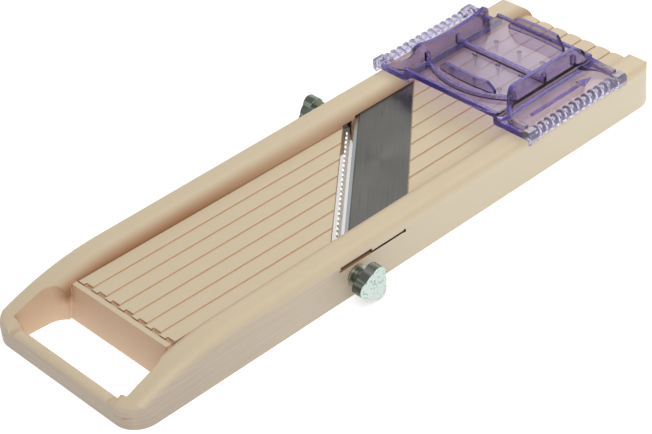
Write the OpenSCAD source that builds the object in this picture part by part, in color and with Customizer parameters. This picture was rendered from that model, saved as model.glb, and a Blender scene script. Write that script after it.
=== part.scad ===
// Mandoline slicer: a moulded frame with an adjustable front plate, a fixed diagonal blade, a comb blade
// clamped in the throat by two side thumb screws, and a clear hand guard that rides on the rails.
// Millimetres. +X runs from the handle to the open end, +Z is up, and z = 0 is the surface it stands on.

/* [Frame] */
// Overall length, from the handle bar to the ends of the rails
body_l = 306; // [300:1:320]
// Overall width
body_w = 92.4; // [90:0.2:98]
// Height of the side rails
rail_h = 20.3; // [19.8:0.1:23]
// Clear width of the channel between the rails
channel_w = 60.2; // [58:0.2:62]
// Radius of the rails' outer top edge
rail_outer_r = 5; // [3:0.5:6]
// Radius of the rails' inner top edge
rail_inner_r = 6.5; // [3:0.5:7]
// Wall thickness of the hollow mouldings
wall = 2.4; // [2:0.1:2.8]
// Thickness of the ribs under the mouldings
rib_t = 1.5; // [1.2:0.1:2]
// Distance between the ribs under the mouldings
rib_pitch = 24; // [20:1:28]

/* [Handle] */
// Length of the sloping handle part
handle_l = 56; // [52:1:60]
// Radius of the arc along which the handle's top falls
handle_arc_r = 142; // [135:1:170]
// Corner radius of the handle end, seen from above
handle_corner_r = 11; // [8:0.5:14]
// Radius of the top edge round the handle end
handle_edge_r = 4; // [3:0.5:5]
// Width of the handle bar
bar_w = 6; // [6:0.5:9]
// Height of the handle bar
bar_h = 8.7; // [8:0.1:9]
// Radius of the handle bar's top edges
bar_r = 2.8; // [2:0.1:2.9]
// Half the width of the hand opening underneath, at the bar
grip_half_w = 34.9; // [32:0.1:36]
// How much wider each side of the hand opening is on top
grip_flare = 3; // [1:0.1:4]
// Radius of the curve from the hand opening's sides to the lip wall
grip_r = 10; // [6:0.5:14]
// Distance from the handle end to the foot of the wall behind the hand opening
wall_foot = 28.5; // [27:0.5:30]
// How far the wall behind the hand opening leans
wall_lean = 3.2; // [1:0.1:4]
// Thickness of the lip on top of that wall
lip_t = 2.4; // [2:0.1:3]

/* [Rear bed] */
// Height of the rear bed's top face
bed_top = 15.5; // [15:0.1:16]
// Distance from the rear bed's scalloped end to the ends of the rails
bed_setback = 3; // [2:0.2:8]
// Corner radius of the rails' ends, seen from above
tail_corner_r = 13; // [8:0.5:15]
// Radius of the rails' end edges, seen from the side
tail_edge_r = 9.6; // [6:0.2:11]
// Depth of the scallops in the rear bed's end
scallop = 0.9; // [0.4:0.1:1.4]

/* [Grooves] */
// Number of grooves in the plate and in the bed
groove_n = 6; // [4:1:7]
// Width of a groove
groove_w = 0.9; // [0.6:0.1:1.4]
// Depth of a groove
groove_d = 0.6; // [0.3:0.1:0.9]

/* [Blade and throat] */
// How far the cutting edge runs along the frame for each millimetre across it
skew = 1.062; // [0.98:0.002:1.12]
// Where the cutting edge crosses the middle of the frame
edge_x = 5; // [4:0.5:6]
// Length of the main blade along the frame, from its cutting edge to its back
blade_l = 36.4; // [34:0.2:38]
// Thickness of the main blade
blade_t = 0.8; // [0.6:0.1:1]
// Width of the ground bevel
bevel_w = 2.2; // [1.5:0.1:3]
// How far the blade's ends reach into the rails
blade_grip = 12.5; // [11:0.5:13]
// Length of the blade's front part that overhangs its seat, along the frame
overhang = 15; // [12:1:18]
// Gap between the front plate and the cutting edge, along the frame
throat = 7.8; // [7.4:0.2:9]
// Gap between the blade's back and the rear bed, along the frame
back_gap = 0.8; // [0.5:0.1:1.2]

/* [Front plate] */
// Height of the plate's top face at its handle end
plate_top_in = 15.7; // [15.4:0.1:16]
// Height of the plate's top face at the throat
plate_top_out = 14.2; // [13.9:0.1:14.3]
// Thickness of the plate
plate_t = 2.6; // [2.2:0.1:2.8]
// Side clearance of the plate in the channel
plate_gap = 0.4; // [0.3:0.05:0.6]
// Gap between the lip and the plate's handle end
lip_gap = 0.7; // [0.6:0.1:1]
// Diameter of the plate's trunnions
trunnion_d = 4; // [3.5:0.1:4.4]
// Height of the trunnions' axis
hinge_z = 10.4; // [10:0.1:10.6]
// Distance from the plate's handle end to the trunnions' axis
hinge_in = 4.6; // [4:0.1:6]

/* [Thickness adjuster] */
// Distance of the adjusting screw from the middle of the frame
adjust_x = -44; // [-46:0.5:-43]
// Diameter of the adjusting screw
adjust_d = 5; // [4.5:0.1:5.5]
// Length of the adjusting screw
adjust_l = 9.9; // [9.6:0.1:10.1]
// Diameter of the adjusting knob
adjust_knob_d = 22; // [18:0.5:26]
// Thickness of the adjusting knob
adjust_knob_t = 2.6; // [2.2:0.1:2.7]
// Number of finger scallops round the adjusting knob
adjust_flutes = 12; // [8:1:14]
// Thickness of the cross bar that carries the screw
bridge_t = 1; // [0.8:0.05:1]
// Width of the cross bar
bridge_w = 12; // [10:0.5:13]
// Height of the cross bar's underside
bridge_z = 3.2; // [3.1:0.05:3.3]

/* [Side clamps] */
// Distance of the near thumb screw from the middle of the frame
near_x = -35.8; // [-36.4:0.1:-35.2]
// Distance of the far thumb screw from the middle of the frame
far_x = 34; // [33.4:0.1:34.6]
// Height of the thumb screws' axis
clamp_z = 8.9; // [8.8:0.1:9.3]
// Diameter of the thumb screws
clamp_d = 5; // [4.5:0.1:5.4]
// Distance from a thumb screw's axis to the tip of a lobe
lobe_reach = 8.3; // [8:0.1:8.5]
// Radius of a lobe's rounded tip
lobe_r = 3.8; // [3.4:0.1:4.2]
// Thickness of a thumb screw's head
head_t = 5; // [4:0.1:6]
// Length of the round neck between the head and the frame
neck_l = 4.7; // [3:0.1:6]
// Diameter of that neck
neck_d = 7; // [6.2:0.1:8]

/* [Comb blade] */
// Thickness of the comb blade
comb_t = 0.8; // [0.6:0.1:0.9]
// Height of the comb blade's lower edge
comb_z = 4; // [3.5:0.1:4.4]
// Height of the strip below the teeth
comb_h = 6.3; // [6:0.1:6.6]
// Height of the teeth
tooth_h = 3; // [2:0.1:3.4]
// Distance between the teeth
tooth_pitch = 3.5; // [3:0.1:6]
// Width of a tooth
tooth_w = 1.3; // [1:0.1:2]

/* [Hand guard] */
// Distance from the rails' ends to the middle of the guard
guard_back = 55.5; // [51:0.5:59]
// Length of the grip bars
grip_l = 62; // [60:1:68]
// How far each grip bar stands out past its rail
guard_out = 2.3; // [2.3:0.1:5]
// Thickness of the guard's plates and walls
guard_t = 2; // [1.6:0.1:2.4]
// Height of the middle panel's top face
panel_z = 26.2; // [26:0.2:29]
// Half the width of the middle panel
panel_half_w = 26.2; // [25:0.2:28]
// Height of the arched side walls
arch_z = 35.4; // [33:0.2:38]
// How far the arched walls' tops dip in the middle
arch_sag = 2.1; // [1:0.1:3]
// Length of the raised part of the arched walls
arch_l = 44; // [38:1:48]
// Number of ribs on each grip bar
grip_ribs = 13; // [9:1:15]
// Length of the food spikes
spike_l = 5; // [3:0.2:5.6]

/* [Hidden] */

$fn = 48;
eps = 0.01;
fit = 0.075;          // radial clearance of a running fit
free = 0.3;           // clearance between pieces that move past each other

plastic = [0.85, 0.75, 0.62];
steel = [0.55, 0.56, 0.56];
chrome = [0.82, 0.85, 0.83];
brass = [0.78, 0.62, 0.3];
violet = [0.6, 0.55, 0.88, 0.55];

half_l = body_l / 2;
half_w = body_w / 2;
channel = channel_w / 2;
rail_w = half_w - channel;
skew_a = atan(1 / skew);                       // angle of the cutting edge to the frame
across = sin(skew_a);                          // turns a length along the frame into one square to the edge

// Frame
bar_x = -half_l + bar_w;
drop_x = -half_l + handle_l;                   // where the handle's top starts to fall
drop_z = rail_h - handle_arc_r;
touch_x = -half_l + 5;                         // where the rounding of the handle end touches the falling top
touch_a = asin((drop_x - touch_x) / handle_arc_r);
foot_x = -half_l + wall_foot;
lip_x = foot_x + wall_lean;
bed_end = half_l - bed_setback;
seat_z = bed_top - blade_t;
slot_play = 0.15;
mouth_l = 17.3;                                // tall part of the blade slot, on the outside of the near rail
mouth_h = 2;
mouth_in = 3;
land = channel_w / (groove_n + 1);
pocket_w = rail_w - 2 * wall;
cell_start = 8;
clamp_block = 10;                              // solid plastic kept on the handle side of a clamp's axis
blade_block = 8;                               // solid plastic kept behind a blade screw

// Plate
plate_x = lip_x + lip_t + lip_gap;
plate_end = edge_x - throat;                   // where the plate's end crosses the middle
plate_half_w = channel - plate_gap;
plate_l = plate_end - plate_x;
plate_a = atan((plate_top_in - plate_top_out) / plate_l);
hinge_x = plate_x + hinge_in;
lug_l = 6;
lug_w = 4;
trunnion_l = 2.4;
plate_rib_h = 2.6;
plate_rib_y = 14;                              // where the lengthwise ribs run, each side of the middle
plate_rib_end = 30;                            // how far they run past the adjuster
throat_clear = 6;                              // the ribs stop this short of the throat
boss_gap = 12;                                 // from the adjuster's axis to the nearest crosswise rib
function plate_top(x) = plate_top_in - (x - plate_x) * tan(plate_a);

// Adjuster
knob_gap = 0.2;
adjust_z = bridge_z - knob_gap - adjust_knob_t;
adjust_tip = adjust_z + adjust_l + 0.2;
bridge_top = bridge_z + bridge_t;
ring_t = 0.5;
ring_z = bridge_top + 0.05;
nut_z = bridge_top + 3.8;
nut_d = 8;
nut_clear = 0.3;
boss_d = 13;
skin = 0.8;
ledge_w = 7.5;
ledge_h = 4;
ledge_screw_y = channel - 4;

// Screws
screw_d = 3;
screw_head_d = 5.6;
screw_head_h = 1.5;
blade_screw_y = channel + 5;
blade_mid = edge_x + blade_l / 2;              // where the blade's centre line crosses the middle
blade_screw_head_z = 5;

// Comb blade and clamps
comb_x = (plate_end + edge_x) / 2 - 1;
comb_tab_in = channel + 1.5;                   // inner face of the comb's end tabs
tab_gap = 0.4;
comb_lift = 3.4;
pad_t = 0.9;
pad_d = 7;
pad_gap = 0.05;
pad_travel = 2;
pad_y = comb_tab_in + comb_t + pad_gap;
slot_wall_y = channel + 1.1;
stud_tip_y = pad_y + pad_t + pad_gap;
insert_d = 8;
insert_in = pad_y + pad_t + pad_travel + 1.6;
insert_out = half_w - 0.4;
washer_t = 0.8;
neck_y = half_w + 0.4 + washer_t + 0.05;
head_y = neck_y + neck_l;
face_y = head_y + head_t;

// Guard
guard_x = half_l - guard_back;
guard_half = grip_l / 2;
guard_half_w = half_w + guard_out;
wing_z = rail_h + free;
grip_w = 6;
grip_in = guard_half_w - grip_w;
stop_half_w = 17.2;                            // half the width of a finger stop's foot
stop_slant = 4.8;                              // how much narrower each side of a finger stop is on top
stop_r = 50;
stop_in = 6;
stop_front_h = 9;
stop_rear_h = 6.6;
spike_pitch = 14;
spike_d = 2.4;

// ---------- shapes used by several pieces ----------

// Extrudes a shape drawn with X across the frame and Y up, from x0 to x1 along the frame
module along(x0, x1) translate([x0, 0, 0]) rotate([90, 0, 90]) linear_extrude(x1 - x0) children();

// Extrudes a shape drawn with X along the frame and Y up, between -w and +w across the frame
module crosswise(w) translate([0, w, 0]) rotate([90, 0, 0]) linear_extrude(2 * w) children();

// Sweeps a shape drawn across the frame along an arc that leaves the rails' top at x, towards the handle
module round_down(x, z, r, angle)
    translate([x, 0, z]) rotate([90, 0, 0]) rotate(90)
        rotate_extrude(angle = angle, $fn = 96) translate([r - rail_h, 0]) rotate(-90) children();

module cyl_y(d, y0, y1) translate([0, y0, 0]) rotate([-90, 0, 0]) cylinder(d = d, h = y1 - y0);

// Strip of the frame, seen from above, between two lines parallel to the cutting edge
module skew_strip(x0, x1, w)
    polygon([[x0 - skew * w, -w], [x1 - skew * w, -w], [x1 + skew * w, w], [x0 + skew * w, w]]);

module groove_cuts(x0, x1)
    for (k = [1:groove_n])
        translate([x0, channel - k * land - groove_w / 2, -groove_d]) cube([x1 - x0, groove_w, 2]);

// ---------- frame ----------

module rail_outline()
    union() {
        translate([-half_w, -1]) square([body_w, rail_h - rail_outer_r + 1]);
        translate([-half_w + rail_outer_r, -1]) square([body_w - 2 * rail_outer_r, rail_h + 1]);
        for (s = [-1, 1]) translate([s * (half_w - rail_outer_r), rail_h - rail_outer_r]) circle(rail_outer_r);
    }

module channel_outline()
    union() {
        translate([-channel, -2]) square([channel_w, rail_h + 4]);
        for (s = [-1, 1]) difference() {
            translate([s * (channel + rail_inner_r / 2) - rail_inner_r / 2, rail_h - rail_inner_r])
                square([rail_inner_r, rail_inner_r + 2]);
            translate([s * (channel + rail_inner_r), rail_h - rail_inner_r]) circle(rail_inner_r);
        }
    }

module plan_outline()
    union() {
        translate([-half_l, -half_w + handle_corner_r]) square([handle_corner_r * 2, body_w - 2 * handle_corner_r]);
        translate([-half_l + handle_corner_r, -half_w]) square([body_l - handle_corner_r - tail_corner_r, body_w]);
        translate([half_l - 2 * tail_corner_r, -half_w + tail_corner_r])
            square([2 * tail_corner_r, body_w - 2 * tail_corner_r]);
        for (s = [-1, 1]) {
            translate([-half_l + handle_corner_r, s * (half_w - handle_corner_r)]) circle(handle_corner_r);
            translate([half_l - tail_corner_r, s * (half_w - tail_corner_r)]) circle(tail_corner_r);
        }
    }

// Outer skin of the frame: straight rails, the handle end falling along an arc, the open end rounded
module frame_skin()
    intersection() {
        handle_end();
        union() {
            along(drop_x - eps, half_l) rail_outline();
            round_down(drop_x, drop_z, handle_arc_r, 27) rail_outline();
        }
        linear_extrude(rail_h + 1) plan_outline();
        crosswise(body_w) union() {
            translate([-half_l - 1, -1]) square([body_l + 0.5 - tail_edge_r, rail_h + 2]);
            translate([half_l - 2 * tail_edge_r, -1]) square([2 * tail_edge_r, rail_h - tail_edge_r + 1.3]);
            translate([half_l - tail_edge_r + 0.1, rail_h - tail_edge_r + 0.3]) circle(tail_edge_r);
        }
    }

// Everything inside the rounded top edge of the handle end. The rounding lies in the plane that touches the
// handle's falling top at touch_x
module handle_end() {
    ring_r = handle_corner_r - handle_edge_r;
    corner_y = half_w - handle_corner_r;
    tube_x = (handle_edge_r - half_l - touch_x - handle_edge_r * sin(touch_a)) / cos(touch_a);
    intersection() {
        linear_extrude(rail_h) plan_outline();
        on_slope() translate([-body_w, -body_w, -handle_edge_r - body_l]) cube([3 * body_l, 2 * body_w, body_l]);
    }
    on_slope() {
        translate([tube_x + ring_r, -body_w, -body_l]) cube([2 * body_l, 2 * body_w, 2 * body_l]);
        translate([tube_x, -corner_y, -2 * handle_edge_r]) cube([ring_r + 1, 2 * corner_y, 2 * handle_edge_r]);
        translate([tube_x, 0, -handle_edge_r]) cyl_y(2 * handle_edge_r, -corner_y, corner_y);
        for (s = [-1, 1]) translate([tube_x + ring_r, s * corner_y, -handle_edge_r]) {
            rotate_extrude($fn = 96) union() {
                translate([ring_r, 0]) circle(handle_edge_r);
                translate([0, -handle_edge_r]) square([ring_r, 2 * handle_edge_r]);
            }
        }
    }
}

// Puts its children in a frame whose XY plane touches the handle's falling top at touch_x
module on_slope()
    translate([touch_x, 0, rail_h - handle_arc_r * (1 - cos(touch_a))]) rotate([0, -touch_a, 0]) children();

module channel_cut()
    union() {
        along(drop_x - eps, half_l + 1) channel_outline();
        round_down(drop_x, drop_z, handle_arc_r, 27) channel_outline();
    }

// Hand opening: its side walls lean outwards, and curve in to the foot of the lip wall
module grip_opening()
    hull() for (s = [-1, 1], level = [[-1, 0], [rail_h + 1, grip_flare]])
        translate([0, s * level[1], level[0]]) linear_extrude(eps) union() {
            translate([bar_x, s * (grip_half_w - 0.5) - 0.5]) square([1, 1]);
            translate([foot_x + 0.7 - grip_r, s * (grip_half_w - 1 - grip_r)]) circle(grip_r, $fn = 32);
        }

// Bar across the handle end, with rounded top edges
module handle_bar()
    crosswise(half_w - handle_corner_r) union() {
        translate([-half_l, 0]) square([bar_w, bar_h - bar_r]);
        translate([-half_l + bar_r, 0]) square([bar_w - 2 * bar_r, bar_h]);
        for (x = [bar_r, bar_w - bar_r]) translate([-half_l + x, bar_h - bar_r]) circle(bar_r);
    }

// Wall between the hand opening and the front plate, with the lip that the plate's end meets
module lip_wall()
    crosswise(channel + 0.5)
        polygon([[foot_x, 0], [lip_x, plate_top_in], [lip_x + lip_t, plate_top_in], [lip_x + lip_t, 0]]);

// Bed behind the blade, with its blade seat, grooves, scalloped end and egg-crate ribs
module rear_bed()
    difference() {
        union() {
            // deck under the blade and behind it
            translate([0, 0, bed_top - wall - blade_t]) linear_extrude(wall) bed_plan(edge_x + overhang);
            translate([0, 0, bed_top - wall]) linear_extrude(wall) bed_plan(edge_x + blade_l + back_gap);
            // ribs
            intersection() {
                translate([0, 0, 2]) linear_extrude(bed_top - wall - 2) bed_plan(edge_x + overhang);
                union() {
                    for (k = [1:2]) translate([-half_l, -channel + k * channel_w / 3 - rib_t / 2, 0])
                        cube([body_l, rib_t, bed_top - wall]);
                    for (k = [0:9]) translate([bed_end - 2 - k * rib_pitch, -channel, 0])
                        cube([rib_t, channel_w, bed_top - wall]);
                    linear_extrude(bed_top - wall) skew_strip(edge_x + overhang - 1, edge_x + overhang + wall, channel);
                }
            }
        }
        translate([0, 0, bed_top]) intersection() {
            groove_cuts(-10, half_l);
            translate([0, 0, -5]) linear_extrude(10) skew_strip(edge_x + blade_l + back_gap, half_l * 2, channel);
        }
    }

// Bed seen from above, from a line parallel to the cutting edge to the scalloped end
module bed_plan(x0)
    intersection() {
        skew_strip(x0, 3 * half_l, channel + 0.5);
        union() {
            translate([-half_l, -channel - 0.5]) square([half_l + bed_end - scallop, channel_w + 1]);
            for (k = [0:groove_n]) intersection() {
                translate([bed_end - 3 * land, channel - (k + 1) * land]) square([4 * land, land]);
                translate([bed_end - scallop_r(), channel - (k + 0.5) * land]) circle(scallop_r(), $fn = 96);
            }
        }
    }

function scallop_r() = (pow(land / 2, 2) + scallop * scallop) / (2 * scallop);

// Hollow cells under the rails, left out where the clamps and blade screws need solid plastic
module rail_cells()
    for (s = [-1, 1], k = [0:floor((half_l - tail_corner_r - drop_x - 2 * cell_start) / rib_pitch)]) {
        x0 = drop_x + cell_start + k * rib_pitch;
        solid_from = s < 0 ? near_x - clamp_block : far_x - clamp_block;
        solid_to = blade_mid + s * skew * blade_screw_y + blade_block;
        if (x0 > solid_to || x0 + rib_pitch - rib_t < solid_from)
            translate([x0, s * (channel + rail_w / 2) - pocket_w / 2, -1])
                cube([rib_pitch - rib_t, pocket_w, rail_h - rail_inner_r + wall]);
    }

// Slot through the near rail and into the far one, through which the blade is slid in
module blade_slot()
    union() {
        translate([0, 0, seat_z]) linear_extrude(blade_t + slot_play) intersection() {
            skew_strip(edge_x - 0.4, edge_x + blade_l + 0.4, half_w + 1);
            translate([-half_l, -half_w - 1]) square([body_l, half_w + 1 + channel + blade_grip - 4]);
        }
        // taller mouth and square end notch on the outside of the near rail
        translate([edge_x - skew * half_w + 0.4, -half_w - 1, seat_z]) cube([mouth_l, mouth_in + 1, mouth_h]);
        translate([edge_x + blade_l - skew * half_w - 0.8, -half_w - 1, seat_z - 0.3]) cube([1.2, mouth_in + 1, 1.5]);
    }

// Hollow for one end of the comb blade and its clamp, open below. side is -1 for the near rail, 1 for the far one
module comb_pocket(x, side)
    mirror([0, side > 0 ? 0 : 1, 0]) {
        end_x = side * comb_x + skew * (comb_tab_in + comb_t);
        axis_x = side * x;
        x0 = min(end_x - 1, axis_x - pad_d / 2) - 0.6;
        x1 = max(end_x + 1, axis_x + pad_d / 2) + 0.6;
        mirror([side > 0 ? 0 : 1, 0, 0]) {
            translate([x0, slot_wall_y, -1]) cube([x1 - x0, comb_tab_in + comb_t + tab_gap - slot_wall_y, seat_z - 0.2 + 1]);
            translate([end_x - 5, channel - 1, -1]) cube([5.6, slot_wall_y - channel + 2, seat_z - 0.2 + 1]);
            translate([axis_x - pad_d / 2 - 0.6, slot_wall_y, -1])
                cube([pad_d + 1.2, insert_in - slot_wall_y, clamp_z + pad_d / 2 + 1.2]);
        }
    }

module body_frame() color(plastic)
    difference() {
        union() {
            difference() {
                frame_skin();
                channel_cut();
                grip_opening();
            }
            handle_bar();
            lip_wall();
            rear_bed();
            bridge_ledges();
        }
        rail_cells();
        blade_slot();
        comb_pocket(near_x, -1);
        comb_pocket(far_x, 1);
        for (s = [-1, 1]) {
            translate([hinge_x, 0, hinge_z]) cyl_y(trunnion_d + 2 * fit, s > 0 ? channel - 1 : -channel - trunnion_l - 0.2,
                s > 0 ? channel + trunnion_l + 0.2 : -channel + 1);
            translate([blade_mid + s * skew * blade_screw_y, s * blade_screw_y, -1]) {
                cylinder(d = screw_head_d + 0.6, h = blade_screw_head_z + 1);
                cylinder(d = screw_d, h = seat_z + blade_t + 3);
            }
            translate([adjust_x, s * ledge_screw_y, 0]) cylinder(d = screw_d, h = bridge_top + ledge_h - 0.6);
        }
        translate([near_x, 0, clamp_z]) cyl_y(insert_d, -half_w - 1, -insert_in + eps);
        translate([far_x, 0, clamp_z]) cyl_y(insert_d, insert_in - eps, half_w + 1);
    }

// Blocks on the rails' inner sides that the cross bar is screwed to
module bridge_ledges()
    for (s = [-1, 1])
        translate([adjust_x - bridge_w / 2 - 1, s > 0 ? channel - ledge_w : -channel - 0.5, bridge_top])
            cube([bridge_w + 2, ledge_w + 0.5, ledge_h]);

// ---------- front plate ----------

module plate_plan(x0, x1)
    polygon([[x0, -plate_half_w], [x1 - skew * plate_half_w, -plate_half_w],
             [x1 + skew * plate_half_w, plate_half_w], [x0, plate_half_w]]);

// Slab that follows the plate's slope, from depth z0 to z1 below its top face
module plate_slab(z0, z1)
    crosswise(plate_half_w)
        polygon([[plate_x, plate_top_in - z0], [plate_x, plate_top_in - z1],
                 [plate_x + 2 * plate_l, plate_top(plate_x + 2 * plate_l) - z1],
                 [plate_x + 2 * plate_l, plate_top(plate_x + 2 * plate_l) - z0]]);

module front_plate() color(plastic)
    difference() {
        union() {
            intersection() {
                plate_slab(0, plate_t);
                linear_extrude(rail_h) plate_plan(plate_x, plate_end);
            }
            // stiffening ribs underneath
            intersection() {
                plate_slab(plate_t - eps, plate_t + plate_rib_h);
                linear_extrude(rail_h) plate_plan(plate_x, plate_end - throat_clear);
                union() {
                    for (k = [-1:2]) translate([adjust_x - boss_gap - k * rib_pitch, -plate_half_w, 0])
                        cube([rib_t, 2 * plate_half_w, rail_h]);
                    for (s = [-1, 1]) translate([plate_x, s * plate_rib_y - rib_t / 2, 0])
                        cube([adjust_x - plate_x + plate_rib_end, rib_t, rail_h]);
                }
            }
            // boss for the nut
            translate([adjust_x, 0, nut_z]) cylinder(d = boss_d, h = plate_top(adjust_x) - nut_z - plate_t / 2);
            // trunnion lugs
            for (s = [-1, 1]) {
                translate([hinge_x - lug_l / 2, s > 0 ? plate_half_w - lug_w : -plate_half_w, hinge_z - trunnion_d / 2])
                    cube([lug_l, lug_w, plate_top_in - plate_t / 2 - hinge_z + trunnion_d / 2 - 0.2]);
                translate([hinge_x, 0, hinge_z]) cyl_y(trunnion_d, s > 0 ? plate_half_w - 1 : -channel - trunnion_l,
                    s > 0 ? channel + trunnion_l : -plate_half_w + 1);
            }
        }
        // grooves and the small notches in the handle end, one in each land
        translate([plate_x, 0, plate_top_in]) rotate([0, plate_a, 0]) {
            groove_cuts(-1, 2 * plate_l);
            for (k = [0:groove_n]) translate([-1, channel - (k + 1) * land + groove_w / 2, -1.2]) cube([2.4, land / 2, 3]);
        }
        translate([adjust_x, 0, nut_z - 1]) {
            cylinder(d = nut_d, h = 1 + nut_h());
            cylinder(d = adjust_d + 1, h = plate_top(adjust_x) - skin - nut_z + 1 - 0.15);
        }
    }

function nut_h() = adjust_tip - nut_z;

// Brass bush pressed into the plate's boss. The plate tilts on it, so its thread has play round the screw
module plate_nut() color(brass)
    translate([adjust_x, 0, nut_z]) difference() {
        cylinder(d = nut_d, h = nut_h());
        translate([0, 0, -1]) cylinder(d = adjust_d + 2 * nut_clear, h = nut_h() + 2);
    }

// ---------- blade ----------

module main_blade() color(steel)
    difference() {
        intersection() {
            translate([edge_x, 0, seat_z]) rotate([0, 0, skew_a]) translate([-body_w, 0, 0]) rotate([90, 0, 90])
                linear_extrude(2 * body_w)
                    polygon([[0, 0], [-blade_l * across, 0], [-blade_l * across, blade_t], [-bevel_w, blade_t], [0, 0.1]]);
            translate([-half_l, -channel - blade_grip, 0]) cube([body_l, 2 * channel + 2 * blade_grip - 4.5, rail_h]);
        }
        for (s = [-1, 1]) translate([blade_mid + s * skew * blade_screw_y, s * blade_screw_y, 0])
            cylinder(d = screw_d + 0.4, h = rail_h);
    }

module blade_screws() color(steel)
    for (s = [-1, 1]) translate([blade_mid + s * skew * blade_screw_y, s * blade_screw_y, 0]) {
        translate([0, 0, blade_screw_head_z - screw_head_h]) cylinder(d = screw_head_d, h = screw_head_h);
        translate([0, 0, blade_screw_head_z - eps]) cylinder(d = screw_d, h = seat_z + blade_t + 1.8 - blade_screw_head_z);
    }

// ---------- thickness adjuster ----------

module bridge_bar() color(steel)
    translate([adjust_x, 0, bridge_z]) difference() {
        translate([-bridge_w / 2, -channel + 0.3, 0]) cube([bridge_w, channel_w - 0.6, bridge_t]);
        translate([0, 0, -1]) cylinder(d = adjust_d + 2 * fit, h = 3);
        for (s = [-1, 1]) translate([0, s * ledge_screw_y, -1]) cylinder(d = screw_d + 0.2, h = 3);
    }

module bridge_screws() color(steel)
    for (s = [-1, 1]) translate([adjust_x, s * ledge_screw_y, 0]) {
        translate([0, 0, bridge_z - screw_head_h]) cylinder(d = screw_head_d, h = screw_head_h);
        translate([0, 0, bridge_z - eps]) cylinder(d = screw_d, h = bridge_t + ledge_h - 1.2);
    }

module adjuster_screw() color(steel)
    translate([adjust_x, 0, adjust_z + 0.2]) difference() {
        cylinder(d = adjust_d, h = adjust_l);
        translate([0, 0, ring_z - adjust_z - 0.2 - 0.02]) difference() {
            cylinder(d = adjust_d + 1, h = ring_t + 0.04);
            translate([0, 0, -1]) cylinder(d = adjust_d - 1, h = 3);
        }
    }

module adjuster_knob() color(chrome)
    translate([adjust_x, 0, adjust_z]) difference() {
        cylinder(d = adjust_knob_d, h = adjust_knob_t, $fn = 96);
        for (k = [0:adjust_flutes - 1]) rotate([0, 0, k * 360 / adjust_flutes])
            translate([adjust_knob_d / 2 + 0.8, 0, -1]) cylinder(d = 4, h = adjust_knob_t + 2);
        translate([0, 0, 0.2]) cylinder(d = adjust_d, h = adjust_knob_t);
    }

module retaining_ring() color(steel)
    translate([adjust_x, 0, ring_z]) difference() {
        cylinder(d = adjust_d + 3, h = ring_t);
        translate([0, 0, -1]) cylinder(d = adjust_d - 1, h = 3);
        translate([0, -1.4, -1]) cube([10, 2.8, 3]);
    }

// ---------- comb blade ----------

module comb_blade() color(steel) {
    strip_y = comb_tab_in + comb_t;
    strip_half = strip_y / across;
    tooth_n = floor((2 * channel / across - 4) / tooth_pitch);
    intersection() {
        translate([comb_x, 0, comb_z]) rotate([0, 0, skew_a]) translate([0, comb_t / 2, 0]) rotate([90, 0, 0])
            linear_extrude(comb_t) union() {
                translate([-strip_half - 1, 0]) square([2 * strip_half + 2, comb_h]);
                for (k = [0:tooth_n - 1]) translate([(k - (tooth_n - 1) / 2) * tooth_pitch, comb_h - eps])
                    polygon([[-tooth_w / 2, 0], [tooth_w / 2, 0], [tooth_w / 2, tooth_h * 0.6],
                             [tooth_w * 0.1, tooth_h], [-tooth_w / 2, tooth_h * 0.8]]);
            }
        translate([-half_l, -strip_y, 0]) cube([body_l, 2 * strip_y, rail_h]);
    }
    for (s = [-1, 1]) {
        end_x = comb_x + s * skew * strip_y;
        knob_x = s < 0 ? near_x : far_x;
        x0 = min(end_x, knob_x - pad_d / 2);
        x1 = max(end_x, knob_x + (s < 0 ? 0 : pad_d / 2 - 3));
        translate([x0, s > 0 ? comb_tab_in : -strip_y, comb_z]) cube([x1 - x0, comb_t, comb_h + 0.4]);
    }
}

// ---------- side clamps ----------

// Each piece is drawn on the far side (+Y) and turned for the near one
module at_clamp(x, side) translate([x, 0, clamp_z]) rotate([0, 0, side > 0 ? 0 : 180]) children();

module clamp_insert() difference() {
    cyl_y(insert_d, insert_in, insert_out);
    cyl_y(clamp_d + 2 * fit, insert_in - 1, insert_out + 1);
}

module clamp_pad() difference() {
    cyl_y(pad_d, pad_y, pad_y + pad_t);
    cyl_y(2.6 + 2 * fit, pad_y + 0.3, pad_y + pad_t + 1);
}

module clamp_stud() {
    cyl_y(2.6, pad_y + 0.35, stud_tip_y + eps);
    cyl_y(clamp_d, stud_tip_y, head_y + 2.5);
}

module clamp_knob(turn)
    difference() {
        union() {
            cyl_y(neck_d, neck_y, head_y + eps);
            rotate([0, turn, 0]) translate([0, face_y, 0]) rotate([90, 0, 0]) linear_extrude(head_t) lobe_outline();
        }
        cyl_y(clamp_d, neck_y - 1, head_y + 2.5);
    }

// Three rounded lobes joined by shallow hollows
module lobe_outline() {
    tip = lobe_reach - lobe_r;
    union() {
        for (a = [0:120:240]) rotate(a) {
            translate([tip, 0]) circle(lobe_r);
            translate([0, -lobe_r]) square([tip, 2 * lobe_r]);
        }
        circle(lobe_r * 1.63);
    }
}

module clamp_washer() difference() {
    cyl_y(neck_d + 3, half_w + 0.4, half_w + 0.4 + washer_t);
    cyl_y(clamp_d + 0.2, half_w, half_w + 3);
}

module near_insert() color(brass) at_clamp(near_x, -1) clamp_insert();
module near_clamp_pad() color(steel) at_clamp(near_x, -1) clamp_pad();
module near_clamp_stud() color(steel) at_clamp(near_x, -1) clamp_stud();
module near_clamp_knob() color(chrome) at_clamp(near_x, -1) clamp_knob(-3);
module near_washer() color(steel) at_clamp(near_x, -1) clamp_washer();
module far_insert() color(brass) at_clamp(far_x, 1) clamp_insert();
module far_clamp_pad() color(steel) at_clamp(far_x, 1) clamp_pad();
module far_clamp_stud() color(steel) at_clamp(far_x, 1) clamp_stud();
module far_clamp_knob() color(chrome) at_clamp(far_x, 1) clamp_knob(-90);
module far_washer() color(steel) at_clamp(far_x, 1) clamp_washer();

// ---------- hand guard ----------

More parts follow.
